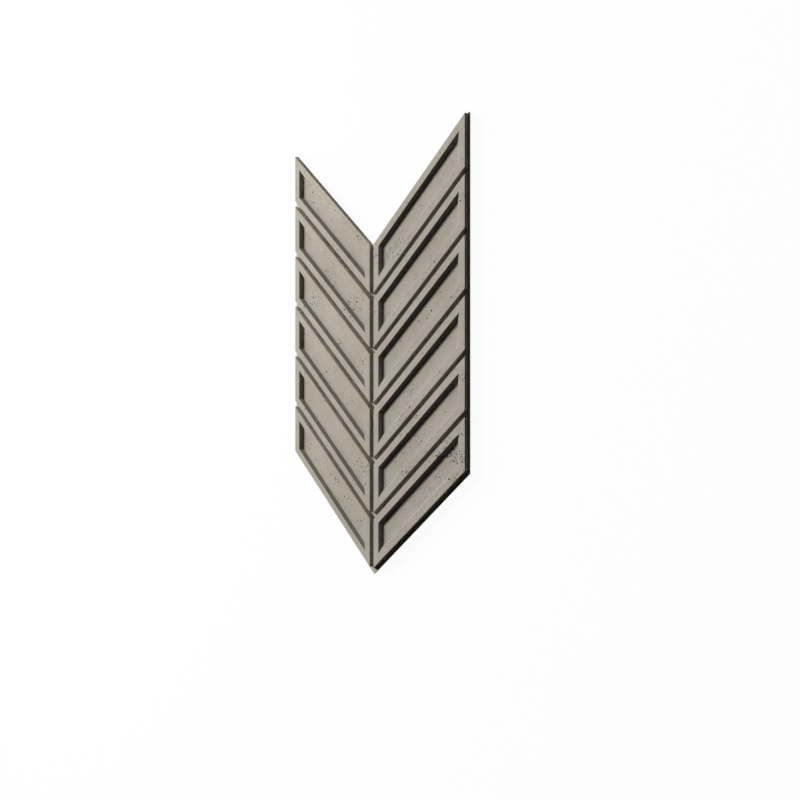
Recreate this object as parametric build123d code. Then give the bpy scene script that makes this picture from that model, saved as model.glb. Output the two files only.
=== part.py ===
from build123d import *
import os
from math import cos, radians, tan

# Cast concrete wall panel with a chevron outline, in millimetres.
# It lies on its back: X runs across the panel, Y up the wall and Z out of the wall.
# Two mirrored columns of slanted fields stand on one thin web. Open joints part the
# fields down to the web, and each field has a flat rail round a shallow tray.

# Layout of the fields
column_pitch = 300.0      # centre line of the panel to its side edge
row_pitch = 147.0         # up the wall, from one field to the next
row_count = 6             # fields in a column
slope_deg = 45.0          # rise of the fields away from the centre line

# Section through the web and the joints
panel_thickness = 16.0    # back face to the front of the rails
joint_depth = 11.0        # front of the rails down to the web
joint_width = 10.7        # square across a slanted joint, at its root
centre_joint = 11.8       # between the two columns, at its root
side_ledge = 5.2          # bare web beside the fields, at the side edges
bottom_ledge = 9.2        # bare web below the lowest fields, square to the edge
tip_cut = 2.5             # height taken off the two sharp upper corners of the web
draft_deg = 3.0           # lean of the field walls, so that the casting leaves its mould
arris = 0.5               # flat along each front edge, seen in section

# Tray in each field
rail_width = 16.5         # flat front of the rail, between its two arrises
tray_depth = 6.5          # front of the rails down to the tray floor
tray_wall_deg = 42.0      # mean lean of the tray walls from the floor
tray_floor_rise = 1.7     # floor set up the wall from the middle of its rim: the lower walls lie flatter

# Values that follow from the sizes above
rise = tan(radians(slope_deg))
square_to_upright = 1.0 / cos(radians(slope_deg))
web_thickness = panel_thickness - joint_depth
draft_run = (joint_depth - arris) * tan(radians(draft_deg))
tray_wall_run = (tray_depth - arris) / tan(radians(tray_wall_deg))
field_upright = row_pitch - joint_width * square_to_upright
ledge_upright = bottom_ledge * square_to_upright
side_upright = (row_count - 1) * row_pitch + field_upright + ledge_upright
overall_length = side_upright + column_pitch * rise - tip_cut
top_edge_y = overall_length / 2
top_notch_y = top_edge_y + tip_cut - column_pitch * rise
tip_y = top_notch_y - side_upright


def slanted(x_inner, x_outer, low, high):
    """Face between two upright lines and two slanted ones, whose heights are given at x = 0."""
    corners = [
        (x_inner, low + x_inner * rise),
        (x_outer, low + x_outer * rise),
        (x_outer, high + x_outer * rise),
        (x_inner, high + x_inner * rise),
    ]
    return make_face(Polyline(*corners, close=True))


def field_section(row, inset, height):
    """Outline of one right-hand field, drawn in by an even inset and set at a height."""
    high = top_notch_y - row * row_pitch
    low = high - field_upright
    upright_inset = inset * square_to_upright
    outline = slanted(
        centre_joint / 2 + inset,
        column_pitch - side_ledge - inset,
        low + upright_inset,
        high - upright_inset,
    )
    return Pos(Z=height) * outline


def raised_block(row):
    """Field standing on the web: drafted walls, then the arris up to the front."""
    sections = [
        field_section(row, 0.0, web_thickness),
        field_section(row, draft_run, panel_thickness - arris),
        field_section(row, draft_run + arris, panel_thickness),
    ]
    return loft(sections, ruled=True)


def tray(row):
    """Hollow of the tray: the rail's inner arris, then sloping walls down to the floor."""
    rim = draft_run + arris + rail_width
    floor = field_section(row, rim + arris + tray_wall_run, panel_thickness - tray_depth)
    sections = [
        field_section(row, rim, panel_thickness),
        field_section(row, rim + arris, panel_thickness - arris),
        Pos(Y=tray_floor_rise) * floor,
    ]
    return loft(sections, ruled=True)


# Web: one chevron plate, flush with the top fields and wider than the rest, its sharp tips cut level
web_edge = Polyline(
    (0.0, tip_y),
    (column_pitch, tip_y + column_pitch * rise),
    (column_pitch, top_edge_y),
    (column_pitch - tip_cut / rise, top_edge_y),
    (0.0, top_notch_y),
    close=True,
)
right_web = make_face(web_edge)
web = extrude(right_web + mirror(right_web, Plane.YZ), amount=web_thickness)

# Fields: one column by a loop, the other as its mirror image
right_column = [raised_block(row) - tray(row) for row in range(row_count)]
left_column = [mirror(field, Plane.YZ) for field in right_column]

wall_panel = web.fuse(*right_column, *left_column).clean()

os.makedirs("parts", exist_ok=True)
export_step(wall_panel, "parts/wall_panel.step")
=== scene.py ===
# %% [markdown]
# A cast concrete wall panel, lying on its back on a white floor.
# The imported solid is the fixed frame, and everything here is in metres and in the same place:
# X runs across the panel, Y up the wall that it was made for, and Z out through its front.
# The solid already has the right section, joints and edges. What a mould and a pour of concrete add
# to that is made here: air pores, nicked arrises and cloudy greys. On the walls and joint floors,
# shade and light are painted into the colour, by the way each faces the main lamp.

# %% Load the frame
import bmesh
import bpy
import math
import random
from mathutils import Matrix, Vector
from mathutils.bvhtree import BVHTree


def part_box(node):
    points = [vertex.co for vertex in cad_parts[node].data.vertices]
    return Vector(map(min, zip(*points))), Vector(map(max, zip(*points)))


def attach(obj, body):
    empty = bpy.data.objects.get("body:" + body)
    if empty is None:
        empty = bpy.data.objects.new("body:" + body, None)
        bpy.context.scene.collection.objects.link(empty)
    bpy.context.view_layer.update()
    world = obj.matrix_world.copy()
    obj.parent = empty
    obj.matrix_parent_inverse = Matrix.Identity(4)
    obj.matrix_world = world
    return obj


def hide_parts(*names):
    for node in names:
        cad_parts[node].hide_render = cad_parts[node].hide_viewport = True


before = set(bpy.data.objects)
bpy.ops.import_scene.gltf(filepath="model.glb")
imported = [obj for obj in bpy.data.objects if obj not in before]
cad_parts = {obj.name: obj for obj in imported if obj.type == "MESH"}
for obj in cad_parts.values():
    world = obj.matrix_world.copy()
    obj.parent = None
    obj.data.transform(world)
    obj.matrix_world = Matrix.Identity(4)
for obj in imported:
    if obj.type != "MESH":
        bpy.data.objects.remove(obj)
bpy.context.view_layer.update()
MM = 0.001
panel_low, panel_high = (Vector(corner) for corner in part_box("wall_panel"))
print("panel size in mm:", [round(side / MM, 1) for side in panel_high - panel_low])

# %% [markdown]
# The casting. On the real panel this is one pour of concrete, with sharp sections that the mould gave it.
# It could be drawn again here from its sizes, but a second drawing can drift from the first, so the skin
# starts as a copy of the solid's own mesh. That mesh is loose triangles: merging their doubles makes one
# closed skin, and dissolving flat neighbours gives whole faces with long clean edges for later cuts.

# %% Copy the casting's skin
MERGE_DISTANCE = 0.001 * MM
FLAT_ANGLE = math.radians(0.1)    # faces that meet at less than this are one flat face


def skin_of(node_name):
    """Closed bmesh with the shape of a frame node, its flat parts joined into whole faces."""
    bm = bmesh.new()
    bm.from_mesh(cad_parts[node_name].data)
    bmesh.ops.remove_doubles(bm, verts=bm.verts, dist=MERGE_DISTANCE)
    bmesh.ops.dissolve_limit(bm, angle_limit=FLAT_ANGLE, verts=bm.verts, edges=bm.edges)
    return bm


casting = skin_of("wall_panel")
open_edges = sum(not edge.is_manifold for edge in casting.edges)
print("casting:", len(casting.faces), "faces,", open_edges, "open edges")

# %% [markdown]
# Where the painted shade and light lie. The main lamp is low on the upper left, and the walls that face it
# would come out far brighter than the front, so they are painted darker: painted shade, deepest on the
# walls that face the lamp most. The joint floors, the strip along the top edges and some walls that face
# across or
# away from the lamp are painted paler: painted light. Joint floors along the side edges and across the
# bottom tip get no painted light and keep the tone of the front. A painted mask could show all this, but
# every wall is one flat face, so a material slot for each is simpler and ends at the arris.

# %% Tell the faces apart
# Slots: the front, three depths of painted shade, painted light, and the pits, which are painted darker
FRONT, SHADE_DEEP, SHADE_HALF, SHADE_SLIGHT, PAINTED_LIGHT, PORE = range(6)    # the skin's material slots
FLAT = 0.95                   # least Z of the normal of a front, a tray floor or a joint floor
UPRIGHT = 0.3                 # most Z of the normal of a joint wall
JOINT_LEVEL = 6.0 * MM        # joint floors lie below this height
TIP_CUT = 2.5 * MM            # height that is missing from the sharp upper corners
notch_y = panel_high.y + TIP_CUT - panel_high.x    # foot of the top notch, whose sides rise at 45 degrees


def is_joint_floor(face):
    """True for a flat face at the bottom of a joint."""
    return face.normal.z > FLAT and face.calc_center_median().z < JOINT_LEVEL


def cut_floor(bm, point, across):
    """Cuts the joint floors through a point, square to a direction, so that the two sides can differ."""
    floors = [face for face in bm.faces if is_joint_floor(face)]
    edges = dict.fromkeys(edge for face in floors for edge in face.edges)
    verts = dict.fromkeys(vert for face in floors for vert in face.verts)
    bmesh.ops.bisect_plane(bm, geom=[*verts, *edges, *floors], plane_co=point, plane_no=across)


EDGE_STRIP = 24.0 * MM        # width of the strip along the side edges and across the bottom tip, where joint floors get no painted light
for side in (-1, 1):
    cut_floor(casting, (side * (panel_high.x - EDGE_STRIP), 0, 0), (1, 0, 0))
cut_floor(casting, (0, panel_low.y + EDGE_STRIP, 0), (0, 1, 0))
print("joint floors:", sum(is_joint_floor(face) for face in casting.faces), "faces after the cuts")

# %% Give each face its tone, with painted shade or light
LAMP_SIDE_BEARING = 150.0         # bearing of the lamp side, which the walls with painted shade face, in degrees from +X
TOP_STRIP = 16.0 * MM         # height of the strip along the top edges that is painted lighter: painted light
# Degrees that a wall looks away from the lamp side, and the painted shade or light of walls up to there
TRAY_WALLS = ((60.0, SHADE_DEEP), (90.0, SHADE_HALF), (115.0, SHADE_SLIGHT), (155.0, PAINTED_LIGHT), (180.0, FRONT))
JOINT_WALLS = ((60.0, SHADE_HALF), (90.0, PAINTED_LIGHT), (180.0, FRONT))
SIDE_WALLS = ((60.0, SHADE_DEEP), (180.0, FRONT))


def finish_of(face):
    """Material slot of a face, with its painted shade or light, from its place and the way it faces."""
    middle, lean = face.calc_center_median(), abs(face.normal.z)
    at_side = panel_high.x - abs(middle.x) < EDGE_STRIP
    at_tip = middle.y - panel_low.y < EDGE_STRIP
    if is_joint_floor(face):
        # Joint floors are painted lighter, painted light, except along the side edges and at the bottom
        # tip
        return FRONT if at_side or at_tip else PAINTED_LIGHT
    if lean > FLAT:
        return FRONT
    bearing = math.degrees(math.atan2(face.normal.y, face.normal.x))
    off_side = abs((bearing - LAMP_SIDE_BEARING + 180.0) % 360.0 - 180.0)
    if lean > UPRIGHT:
        walls = TRAY_WALLS
    # The walls along the top edges are painted lighter: painted light
    elif notch_y - (middle.y - abs(middle.x)) < TOP_STRIP:
        return PAINTED_LIGHT
    else:
        walls = SIDE_WALLS if at_side else JOINT_WALLS
    # Walls that face the lamp side get painted shade, and some that face across or away get painted light
    return next(slot for reach, slot in walls if off_side <= reach)


for face in casting.faces:
    face.material_index = finish_of(face)
slots_used = [face.material_index for face in casting.faces]
print("faces of each finish:", [slots_used.count(slot) for slot in range(PORE)])

# %% [markdown]
# The concrete. Fair-faced concrete is cement paste and fine sand, cast against a smooth mould: matt, warm
# grey and never one flat tone. Broad clouds come from how the wet mix settled, smaller blotches from the
# mould, and the finest grains are sand just under the skin. One noise texture could blur all three into
# one pattern, so there are three, each with its own size in mm, and each lays a grey over the last.

# %% Helpers for colours and nodes


def linear(hex_colour):
    """Linear colour for an sRGB hex value."""
    channels = [int(hex_colour[i:i + 2], 16) / 255 for i in (1, 3, 5)]
    return [c / 12.92 if c <= 0.04045 else ((c + 0.055) / 1.055) ** 2.4 for c in channels] + [1.0]


def node(tree, kind, inputs=None, **settings):
    """New node with its settings, and with its inputs set to values or linked to sockets."""
    made = tree.nodes.new(kind)
    for name, value in settings.items():
        setattr(made, name, value)
    for key, value in (inputs or {}).items():
        if isinstance(value, bpy.types.NodeSocket):
            tree.links.new(value, made.inputs[key])
        else:
            made.inputs[key].default_value = value
    return made


def new_material(name):
    """Empty node material and its tree."""
    material = bpy.data.materials.new(name)
    material.use_nodes = True
    material.node_tree.nodes.clear()
    return material, material.node_tree


print("half of white in linear light:", round(linear("#808080")[0], 3))

# %% Fair-faced concrete
# Size of a pattern in mm, its detail, the noise at which it starts and is full, and the most that shows
CLOUDS = (160.0, 4.0, 0.35, 0.65, 1.0)
BLOTCHES = (22.0, 3.0, 0.45, 0.75, 0.25)
GRAINS = (2.2, 2.0, 0.5, 0.8, 0.45)    # real sand is under 1 mm: it is drawn coarser so that it shows
GRAIN_HEIGHT = 0.15 * MM
GRAIN_STRENGTH = 0.5
ROUGHNESS = 0.9
SPECULAR = 0.05               # dry and porous, so next to no sheen
COLOUR_A, COLOUR_B, COLOUR_OUT = 6, 7, 2    # sockets of a Mix node that mixes colours


def concrete(name, pale, middle, dark):
    """Cast concrete in three greys: a middle one, pale clouds over it, then dark blotches and grains."""
    material, tree = new_material(name)
    place = node(tree, "ShaderNodeTexCoord").outputs["Object"]
    colour = linear(middle)
    for pattern, grey in ((CLOUDS, pale), (BLOTCHES, dark), (GRAINS, dark)):
        size_mm, detail, start, full, most = pattern
        waves = {"Vector": place, "Scale": 1 / (size_mm * MM), "Detail": detail}
        height = node(tree, "ShaderNodeTexNoise", waves).outputs["Fac"]
        limits = {"Value": height, "From Min": start, "From Max": full, "To Max": most}
        share = node(tree, "ShaderNodeMapRange", limits).outputs[0]
        layer = {0: share, COLOUR_A: colour, COLOUR_B: linear(grey)}
        colour = node(tree, "ShaderNodeMix", layer, data_type="RGBA").outputs[COLOUR_OUT]
    # The last height is that of the grains, which also roughen the surface
    bumps = {"Height": height, "Distance": GRAIN_HEIGHT, "Strength": GRAIN_STRENGTH}
    shader = node(tree, "ShaderNodeBsdfPrincipled", {
        "Base Color": colour,
        "Roughness": ROUGHNESS,
        "Specular IOR Level": SPECULAR,
        "Normal": node(tree, "ShaderNodeBump", bumps).outputs[0],
    })
    node(tree, "ShaderNodeOutputMaterial", {"Surface": shader.outputs[0]})
    return material


finishes = [
    # Off a smooth mould: an even, warm grey that the light clouds over
    concrete("cast_front_concrete", "#BCB5A8", "#B4AD9F", "#9D9588"),
    # Painted shade, the deepest: for the walls that face the main lamp most
    concrete("deep_shade_wall_concrete", "#7F7972", "#767068", "#655F58"),
    # Painted shade, about half as dark
    concrete("half_shade_wall_concrete", "#928C81", "#898379", "#756F66"),
    # Painted shade, slight: just a shade below the front
    concrete("slight_shade_wall_concrete", "#B5AEA0", "#ABA496", "#948C7F"),
    # Painted light: paler than the front, for joint floors, top edges and walls that face across or away
    # from the lamp
    concrete("painted_light_concrete", "#D8D3CA", "#CCC7BF", "#B2ADA4"),
    # Inside of a pit: darker than the front, painted shade over the pit's own shading
    concrete("pore_shade_concrete", "#5C554B", "#524B42", "#403A33"),
]
print("finishes:", [finish.name for finish in finishes])

# %% [markdown]
# Air pores. Bubbles that stick to the mould leave small round holes in the front, some alone and most in
# loose swarms. A painted dot would have no depth, so each pore is a real pit: a squashed ball, set a
# little below the surface and cut away. This step chooses where the lone ones lie, by a seeded generator
# that gives the same pores on every run. Their sizes are lognormal: many small ones, a few large ones.

# %% Lone pores
SEED = 41
dice = random.Random(SEED)
PORE_RADIUS = 1.1             # the commonest lone pore, in mm
PORE_SPREAD = 0.38            # of the natural logarithm of the radius
SMALLEST_PORE = 0.7 * MM
LARGEST_PORE = 2.8 * MM
LONE_PORES = 420


def pore_radius(common_mm):
    """Random radius round a common one: many small pores, a few large ones."""
    radius = dice.lognormvariate(math.log(common_mm), PORE_SPREAD) * MM
    return min(max(radius, SMALLEST_PORE), LARGEST_PORE)


wanted = []
for _ in range(LONE_PORES):
    x, y = dice.uniform(panel_low.x, panel_high.x), dice.uniform(panel_low.y, panel_high.y)
    wanted.append((x, y, pore_radius(PORE_RADIUS)))
print("lone pores:", len(wanted))

# %% [markdown]
# Swarms of pores. Air gathers where the wet mix flowed last, so each field has a few swarms of its own.
# A noise pattern could place them, but then no field would look like the real one, so they are listed one
# by one. A swarm is given by its place in its field: along runs from the centre line to the side edge, and
# across from the field's lower edge to its upper one. The generator then scatters its pores round there.

# %% Swarms, field by field
ROW_PITCH = 147.0 * MM        # from one field to the next, up the wall
FIELD_HEIGHT = 132.0 * MM     # of one field, up the wall
LEFT, RIGHT = -1, 1
# Column, row from the top, and its swarms: along, across, pores, spread in mm, commonest radius in mm
SWARMS = [
    (LEFT, 0, [(0.15, 0.88, 14, 9, 1.1), (0.09, 0.35, 10, 8, 1.1), (0.66, 0.62, 10, 16, 0.9)]),
    (LEFT, 1, [(0.55, 0.90, 8, 6, 1.2), (0.53, 0.34, 32, 19, 1.1), (0.26, 0.34, 50, 18, 1.3),
               (0.32, 0.08, 24, 17, 1.1), (0.05, 0.50, 18, 15, 1.2)]),
    (LEFT, 2, [(0.74, 0.58, 50, 20, 1.2), (0.37, 0.60, 16, 14, 1.1), (0.85, 0.12, 18, 12, 1.2),
               (0.12, 0.62, 12, 9, 1.1)]),
    (LEFT, 3, [(0.85, 0.45, 10, 8, 1.2), (0.59, 0.55, 22, 19, 0.9), (0.28, 0.40, 12, 18, 0.9)]),
    (LEFT, 4, [(0.13, 0.52, 70, 20, 1.1), (0.21, 0.10, 18, 12, 1.0)]),
    (LEFT, 5, [(0.45, 0.72, 12, 9, 1.5), (0.32, 0.58, 34, 17, 1.0), (0.18, 0.45, 28, 13, 1.0),
               (0.58, 0.64, 10, 15, 0.8)]),
    (RIGHT, 0, [(0.27, 0.92, 18, 12, 1.0), (0.25, 0.40, 44, 19, 1.0), (0.05, 0.72, 24, 10, 1.1),
                (0.89, 0.24, 10, 12, 1.0)]),
    (RIGHT, 1, [(0.95, 0.64, 34, 12, 1.1), (0.59, 0.55, 9, 7, 0.9), (0.49, 0.32, 14, 15, 0.8)]),
    (RIGHT, 2, [(0.57, 0.42, 18, 8, 1.2), (0.83, 0.26, 16, 13, 1.3)]),
    (RIGHT, 3, [(0.80, 0.88, 18, 17, 1.1), (0.42, 0.42, 16, 11, 1.2), (0.34, 0.10, 18, 11, 1.2)]),
    (RIGHT, 4, [(0.35, 0.90, 28, 14, 1.2), (0.53, 0.36, 20, 11, 1.2), (0.95, 0.72, 34, 11, 1.3),
                (0.48, 0.90, 14, 9, 1.3), (0.39, 0.12, 20, 13, 1.1)]),
    (RIGHT, 5, [(0.94, 0.37, 40, 10, 1.9), (0.96, 0.78, 10, 8, 1.4), (0.87, 0.53, 70, 14, 1.5),
                (0.88, 0.12, 20, 8, 1.9), (0.72, 0.87, 28, 9, 1.6), (0.79, 0.94, 22, 9, 1.2),
                (0.63, 0.88, 30, 18, 1.0), (0.72, 0.36, 34, 15, 1.2), (0.57, 0.48, 22, 14, 1.1),
                (0.54, 0.20, 10, 9, 1.2)]),
]
for column, row, swarms in SWARMS:
    for along, across, count, spread_mm, common_mm in swarms:
        reach = along * panel_high.x
        field_top = notch_y + reach - row * ROW_PITCH
        middle = Vector((column * reach, field_top - (1 - across) * FIELD_HEIGHT))
        for _ in range(count):
            x, y = (dice.gauss(value, spread_mm * MM) for value in middle)
            wanted.append((x, y, pore_radius(common_mm)))
print("lone pores and swarms:", len(wanted))

# %% [markdown]
# Settling the pores. A pore shows only on the rails and the tray floors: in the joints and on the sloping
# walls the bubbles rose away. A ray dropped on the casting finds the face under each place, and places
# over a joint or a wall are passed over. So are those that would run into a pore that is already there,
# because two pits with a paper-thin wall between them would be one ragged hole.

# %% Drop the pores on the front
surface = BVHTree.FromBMesh(casting)
DROP_HEIGHT = 1.0             # well above the panel
WALL_BETWEEN = 0.3 * MM       # least concrete left between two pores
pores = []


def front_under(x, y):
    """Point of a rail or a tray floor under (x, y), or None over a joint, a wall or the ground."""
    start = Vector((x, y, panel_high.z + DROP_HEIGHT))
    point, normal, _, _ = surface.ray_cast(start, Vector((0, 0, -1)))
    if point is None or point.z < JOINT_LEVEL or normal.z < FLAT:
        return None
    return point


def add_pore(point, radius):
    """Adds a pore if it stays clear of all the others."""
    if all((point - other).length > radius + taken + WALL_BETWEEN for other, taken in pores):
        pores.append((point, radius))


for x, y, radius in wanted:
    point = front_under(x, y)
    if point is not None:
        add_pore(point, radius)
print("pores:", len(pores), "of", len(wanted), "places")

# %% [markdown]
# Nicks. The front edges of cast concrete are brittle, and small chips break from them when the mould is
# stripped. A wavy bevel would soften every edge alike, so the nicks are more small pits, at random places
# along the front edges. A long edge gets more of them, because edges are drawn by their length.

# %% Nicks along the front edges
NICKS = 150
NICK_RADIUS = (0.5 * MM, 1.1 * MM)
FRONT_SKIN = 0.1 * MM         # an edge this close to the front plane is a front edge
front_edges = [
    edge for edge in casting.edges
    if min(vert.co.z for vert in edge.verts) > panel_high.z - FRONT_SKIN
]
lengths = [edge.calc_length() for edge in front_edges]
for edge in dice.choices(front_edges, lengths, k=NICKS):
    start, end = (vert.co for vert in edge.verts)
    along = dice.random()
    add_pore(start.lerp(end, along), dice.uniform(*NICK_RADIUS))
print("pores and nicks:", len(pores), "on", len(front_edges), "front edges")

# %% [markdown]
# The balls that make the pits. A real bubble is never quite round, so each ball is stretched one way along
# the surface, by its own share, and turned at random. All of them are stamped from one coarse icosphere,
# which keeps the finished skin light, and they lie in one mesh, so that one cut makes all the pits.

# %% Stamp the balls
PORE_FACETS = 2               # rounds of subdivision of each ball
PORE_SINK = 0.5               # depth of a ball's centre, in radii
PORE_STRETCH = (0.75, 1.3)    # range of a ball's stretch along the surface


def mesh_of(name, bm):
    """Mesh that takes over a bmesh."""
    mesh = bpy.data.meshes.new(name)
    bm.to_mesh(mesh)
    bm.free()
    return mesh


def pore_balls(places):
    """Mesh of separate squashed balls, one for each pore, all stamped from one small ball."""
    one = bmesh.new()
    bmesh.ops.create_icosphere(one, subdivisions=PORE_FACETS, radius=1.0)
    # The pits take the pore material, darker than the front: painted shade inside them
    for face in one.faces:
        face.material_index = PORE
    stamp = mesh_of("pore_ball", one)
    balls = bmesh.new()
    for point, radius in places:
        stretch = dice.uniform(*PORE_STRETCH)
        shape = Matrix.Diagonal((radius * stretch, radius / stretch, radius, 1.0))
        turn = Matrix.Rotation(dice.uniform(0, math.pi), 4, "Z")
        ball = stamp.copy()
        ball.transform(Matrix.Translation(point - Vector((0, 0, PORE_SINK * radius))) @ turn @ shape)
        balls.from_mesh(ball)
        bpy.data.meshes.remove(ball)
    bpy.data.meshes.remove(stamp)
    return mesh_of("pore_balls", balls)


ball_mesh = pore_balls(pores)
print("balls:", len(ball_mesh.polygons), "faces for", len(pores), "pits")

# %% [markdown]
# Cutting the pits. A Boolean modifier takes the balls away from the casting. Its manifold solver is quick
# with a thousand closed balls and leaves a closed skin, and the pits keep the balls' own material.
# The result becomes the piece's mesh and the balls go, so nothing is left to work out later. Only the
# pits are shaded smooth, because smooth shading on the flat faces would smear light across the arrises.

# %% Cut the pits


def new_object(name, mesh, materials):
    """Object at the origin that shows a mesh in the given materials."""
    for material in materials:
        mesh.materials.append(material)
    made = bpy.data.objects.new(name, mesh)
    bpy.context.scene.collection.objects.link(made)
    return made


panel = new_object("panel_skin", mesh_of("panel_skin", casting), finishes)
cutter = new_object("pore_cutter", ball_mesh, finishes)
cut = panel.modifiers.new("pores", "BOOLEAN")
cut.operation = "DIFFERENCE"
cut.solver = "MANIFOLD"
cut.object = cutter
evaluated = panel.evaluated_get(bpy.context.evaluated_depsgraph_get())
pitted = bpy.data.meshes.new_from_object(evaluated)
pitted.polygons.foreach_set("use_smooth", [face.material_index == PORE for face in pitted.polygons])
panel.modifiers.clear()
panel.data = pitted
bpy.data.objects.remove(cutter)
print("pitted skin:", len(pitted.polygons), "faces")

# %% [markdown]
# Setting the skin on the frame. The panel has no moving parts, so its one piece rides on the one body. It
# stands for the plain solid, which is hidden from view and still does the work of weight and contact.

# %% Set the skin on the frame
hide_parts("wall_panel")
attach(panel, "root")
print(panel.name, "stands for wall_panel, with", len(panel.data.materials), "finishes of its concrete")

# %% [markdown]
# The floor. The panel lies on white paper that fills the view. Paper lit by the lamps alone would be an
# uneven grey, and more light would bleach the panel. So to a ray of sight the paper is mostly its own
# even white, with a small share of real light in which the panel's shadow shows. To a ray of light it is
# plain grey paper, which throws a little light back up on the edges of the panel.

# %% Floor
FLOOR_SIDE = 14.0
SHADOW_SHARE = 0.05           # share of real light in the white that is seen


def seen_ray(tree):
    """Socket that is 1 on a ray of sight, straight or by way of gloss or glass, and 0 on one of light."""
    path = node(tree, "ShaderNodeLightPath").outputs
    mirrored = {0: path["Is Camera Ray"], 1: path["Is Glossy Ray"]}
    straight = node(tree, "ShaderNodeMath", mirrored, operation="MAXIMUM").outputs[0]
    through = {0: straight, 1: path["Is Transmission Ray"]}
    return node(tree, "ShaderNodeMath", through, operation="MAXIMUM").outputs[0]


paper, tree = new_material("white_paper")
glow = node(tree, "ShaderNodeEmission", {"Color": linear("#FFFFFF"), "Strength": 1.0})
shaded = node(tree, "ShaderNodeBsdfDiffuse", {"Color": linear("#FFFFFF")})
white = node(tree, "ShaderNodeMixShader", {0: SHADOW_SHARE, 1: glow.outputs[0], 2: shaded.outputs[0]})
grey = node(tree, "ShaderNodeBsdfDiffuse", {"Color": linear("#C4C4C4")})
either = node(tree, "ShaderNodeMixShader", {0: seen_ray(tree), 1: grey.outputs[0], 2: white.outputs[0]})
node(tree, "ShaderNodeOutputMaterial", {"Surface": either.outputs[0]})
floor_plane = bmesh.new()
bmesh.ops.create_grid(floor_plane, x_segments=1, y_segments=1, size=FLOOR_SIDE / 2)
new_object("floor", mesh_of("floor", floor_plane), [paper])
print("floor:", FLOOR_SIDE, "m square,", paper.name)

# %% [markdown]
# The lamps. Relief shows best in raking light: one strong round lamp, low on the upper left and far away,
# draws a long dark line along every tray and joint. A wide lamp close by, lower still, softens those
# lines on the left, and a weak one at the top keeps the upper edges from going black. A bright sky would
# fill the joints and flatten the panel, so the world gives next to no light and only looks white.

# %% Lamps


def aim(thing, place, target):
    """Puts a lamp at a place and points it at a target."""
    thing.location = place
    thing.rotation_euler = (Vector(target) - Vector(place)).to_track_quat("-Z", "Y").to_euler()


def lamp(name, bearing_deg, height_deg, distance, size, power):
    """Round soft lamp, placed by its bearing from +X, its height angle and its distance."""
    data = bpy.data.lights.new(name, "AREA")
    data.shape = "DISK"
    data.size = size
    data.energy = power
    made = bpy.data.objects.new(name, data)
    bpy.context.scene.collection.objects.link(made)
    bearing, height = math.radians(bearing_deg), math.radians(height_deg)
    level = distance * math.cos(height)
    place = (level * math.cos(bearing), level * math.sin(bearing), distance * math.sin(height))
    aim(made, place, (0, 0, 0))
    print(name, "at", [round(value, 2) for value in place], "m,", power, "W")


lamp("raking_lamp", bearing_deg=154.0, height_deg=21.0, distance=15.0, size=2.6, power=3780.0)
lamp("soft_lamp", bearing_deg=168.0, height_deg=11.0, distance=3.4, size=1.4, power=166.0)
lamp("upper_lamp", bearing_deg=70.0, height_deg=20.0, distance=6.0, size=2.0, power=16.0)

# %% World
SKY_LIGHT = 0.005             # what the world adds to the lamps
SKY_SEEN = 1.0                # what a ray of sight meets: white
world = bpy.context.scene.world or bpy.data.worlds.new("room")
bpy.context.scene.world = world
world.use_nodes = True
sky = world.node_tree
sky.nodes.clear()
dim = node(sky, "ShaderNodeBackground", {"Color": linear("#FFFFFF"), "Strength": SKY_LIGHT})
bright = node(sky, "ShaderNodeBackground", {"Color": linear("#FFFFFF"), "Strength": SKY_SEEN})
either = node(sky, "ShaderNodeMixShader", {0: seen_ray(sky), 1: dim.outputs[0], 2: bright.outputs[0]})
node(sky, "ShaderNodeOutputWorld", {"Surface": either.outputs[0]})
print("world: light", SKY_LIGHT, "and seen at", SKY_SEEN)

# %% [markdown]
# The camera. It stands beside the panel and looks down on it, square to the upright edges, so that they
# stay parallel in the picture. The panel could be centred by tilting the camera, but then those edges
# would lean together. So the lens is shifted instead, as on a camera for buildings.

# %% Camera
IMAGE_SIDE = 800              # pixels
FOCAL_PIXELS = 680.0          # focal length, in pixels of the picture
AXIS_ROW = 358.75             # picture row that the optical axis meets
SENSOR_MM = 36.0
EYE = (1177.1 * MM, -9.6 * MM)    # the lens, over the floor
EYE_HEIGHT = 1392.2 * MM      # of the lens over the panel's front
view_angle = math.radians(37.82)    # between the line of sight and straight down

camera_data = bpy.data.cameras.new("camera")
camera_data.sensor_width = SENSOR_MM
camera_data.lens = FOCAL_PIXELS / IMAGE_SIDE * SENSOR_MM
camera_data.shift_y = (AXIS_ROW - IMAGE_SIDE / 2) / IMAGE_SIDE
camera = bpy.data.objects.new("camera", camera_data)
bpy.context.scene.collection.objects.link(camera)
camera.location = (*EYE, panel_high.z + EYE_HEIGHT)
right = Vector((math.cos(view_angle), 0, -math.sin(view_angle)))
up = Vector((0, 1, 0))
back = Vector((math.sin(view_angle), 0, math.cos(view_angle)))
camera.rotation_euler = Matrix((right, up, back)).transposed().to_euler()
bpy.context.scene.camera = camera
bpy.context.scene.view_settings.view_transform = "Standard"
print("lens:", round(camera_data.lens, 1), "mm, shifted by", round(camera_data.shift_y, 3))
